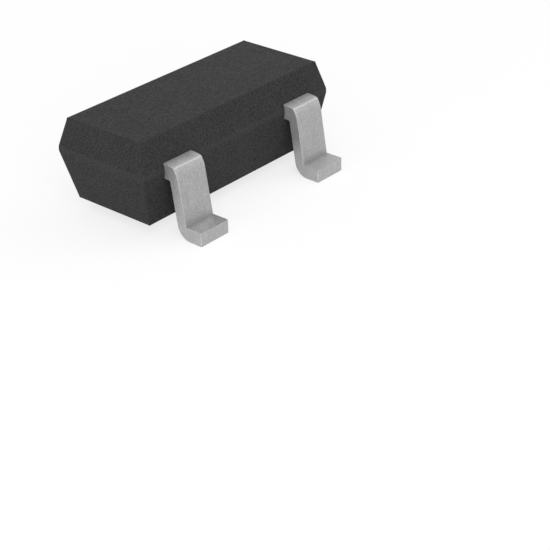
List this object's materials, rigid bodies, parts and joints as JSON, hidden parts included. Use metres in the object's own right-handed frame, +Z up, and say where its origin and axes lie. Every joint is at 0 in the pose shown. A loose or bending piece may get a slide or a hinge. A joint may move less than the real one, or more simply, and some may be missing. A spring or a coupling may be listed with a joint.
{
  "type": "sot-23 transistor",
  "caption": "Small-outline surface-mount transistor: a drafted black epoxy body moulded round a tin-plated lead frame with gull-wing leads, a die and bond wires.",
  "frame": {"origin": "on the board under the middle of the body, at the centre of the bottom of the part's box", "axes": "+X along the body from the base lead to the emitter lead, +Y towards the collector lead, +Z up from the board"},
  "size_m": [0.003, 0.0022, 0.0011],
  "materials": {
    "epoxy": "matt black mould compound with a fine grain",
    "tin_plate": "matt tin plating on copper alloy",
    "silicon": "polished silicon",
    "silver_epoxy": "cured silver-filled adhesive",
    "gold_wire": "bright drawn gold"
  },
  "bodies": {
    "root": {"moulded_body": "epoxy", "base_lead": "tin_plate", "emitter_lead": "tin_plate", "collector_lead": "tin_plate", "die_attach": "silver_epoxy", "die": "silicon", "base_wire": "gold_wire", "emitter_wire": "gold_wire"}
  },
  "joints": []
}
